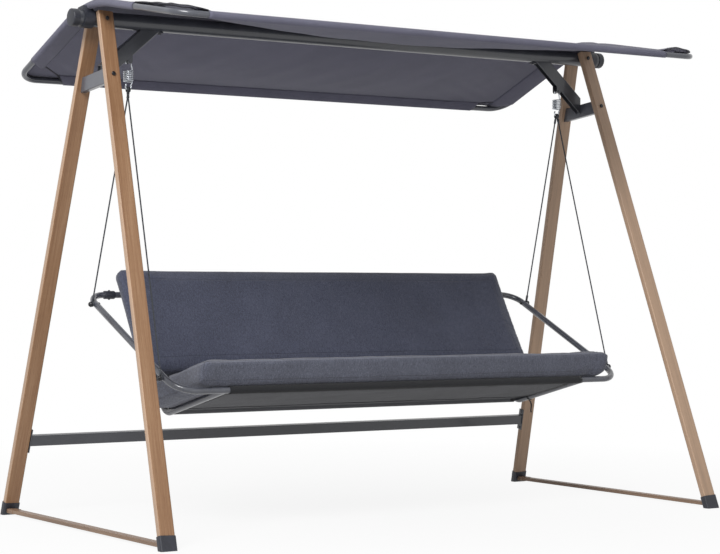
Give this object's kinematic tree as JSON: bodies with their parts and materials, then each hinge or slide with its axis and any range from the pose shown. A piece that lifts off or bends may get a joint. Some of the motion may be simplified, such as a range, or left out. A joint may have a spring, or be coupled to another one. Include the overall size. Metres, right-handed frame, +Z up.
{
  "type": "canopy swing bench",
  "caption": "Garden swing bench with seat and back cushions, hung by springs and ropes from a round beam on splayed wood-look legs, under an arched fabric canopy that tilts.",
  "frame": {"origin": "on the floor, under the middle of the whole swing", "axes": "+X along the beam towards the right end as seen from the front, +Y to the back, +Z up"},
  "size_m": [2.1554, 1.1234, 1.6107],
  "materials": {
    "wood_print": "wood-look print on steel tube, satin",
    "stand_paint": "dark grey powder coat",
    "tube_paint": "dark grey powder coat, satin",
    "black_plastic": "moulded, slightly grained",
    "black_bolts": "black, satin",
    "zinc_steel": "zinc plated",
    "steel_rope": "dark sheathed steel rope",
    "sling_fabric": "coated woven sling",
    "black_tape": "woven tape",
    "seat_fabric": "melange weave",
    "back_fabric": "melange weave",
    "canopy_fabric": "coated plain weave"
  },
  "bodies": {
    "stand": {"leg_front_left": "wood_print", "leg_front_right": "wood_print", "leg_rear_left": "wood_print", "leg_rear_right": "wood_print", "foot_front_left": "black_plastic", "foot_front_right": "black_plastic", "foot_rear_left": "black_plastic", "foot_rear_right": "black_plastic", "floor_rail_left": "wood_print", "floor_rail_right": "wood_print", "beam_cap_left": "black_plastic", "beam_cap_right": "black_plastic", "beam_bolt_left": "black_bolts", "beam_bolt_right": "black_bolts", "crossbar_left": "stand_paint", "crossbar_right": "stand_paint", "crossbar_bolt_left": "black_bolts", "crossbar_bolt_right": "black_bolts", "knee_brace_left": "stand_paint", "knee_brace_right": "stand_paint", "stretcher_plate_left": "stand_paint", "stretcher_plate_right": "stand_paint", "beam": "stand_paint", "stretcher": "stand_paint"},
    "spring_left": {"spring_hook_top_left": "zinc_steel", "spring_coil_left": "zinc_steel"},
    "hook_left": {"spring_hook_bottom_left": "zinc_steel"},
    "bench": {"arm_left": "tube_paint", "arm_right": "tube_paint", "rear_sleeve_left": "black_plastic", "rear_sleeve_right": "black_plastic", "side_rail_left": "tube_paint", "side_rail_right": "tube_paint", "rope_front_left": "steel_rope", "rope_front_right": "steel_rope", "rope_rear_left": "steel_rope", "rope_rear_right": "steel_rope", "rope_bolt_front_left": "black_bolts", "rope_bolt_front_right": "black_bolts", "rope_bolt_rear_left": "black_bolts", "rope_bolt_rear_right": "black_bolts", "front_bar": "tube_paint", "rear_bar": "tube_paint", "lower_bar": "tube_paint", "seat_sling": "sling_fabric", "back_sling": "sling_fabric", "seat_cushion": "seat_fabric", "back_cushion": "back_fabric", "tie_strap": "black_tape"},
    "spring_right": {"spring_hook_top_right": "zinc_steel", "spring_coil_right": "zinc_steel"},
    "hook_right": {"spring_hook_bottom_right": "zinc_steel"},
    "canopy": {"canopy_side_left": "tube_paint", "canopy_side_right": "tube_paint", "canopy_clamp_left": "black_plastic", "canopy_clamp_right": "black_plastic", "canopy_front_tube": "tube_paint", "canopy_rear_tube": "tube_paint", "canopy_fabric": "canopy_fabric"}
  },
  "joints": [
    {"name": "swing_left", "type": "hinge", "parent": "stand", "child": "spring_left", "pos_m": [-0.862, 0.05556, 1.44455], "axis": [1, 0, 0], "range_deg": [-14, 14]},
    {"name": "bounce_left", "type": "slide", "parent": "spring_left", "child": "hook_left", "axis": [0, 0, -1], "range_m": [0, 0.02], "stiffness_N_per_m": 40000, "springref_m": -0.012, "deforming": ["spring_coil_left"]},
    {"name": "bench_pivot", "type": "hinge", "parent": "hook_left", "child": "bench", "pos_m": [-0.862, 0.05556, 1.35], "axis": [1, 0, 0], "range_deg": [-15, 15]},
    {"name": "swing_right", "type": "hinge", "parent": "stand", "child": "spring_right", "pos_m": [0.862, 0.05556, 1.44455], "axis": [1, 0, 0], "range_deg": [-14, 14]},
    {"name": "bounce_right", "type": "slide", "parent": "spring_right", "child": "hook_right", "axis": [0, 0, -1], "range_m": [0, 0.02], "deforming": ["spring_coil_right"]},
    {"name": "canopy_tilt", "type": "hinge", "parent": "stand", "child": "canopy", "pos_m": [0, 0.05556, 1.559], "axis": [1, 0, 0], "range_deg": [-14, 26]}
  ],
  "couplings": [
    {"joint": "swing_right", "follows": "swing_left", "ratio": 1},
    {"joint": "bounce_right", "follows": "bounce_left", "ratio": 1}
  ]
}
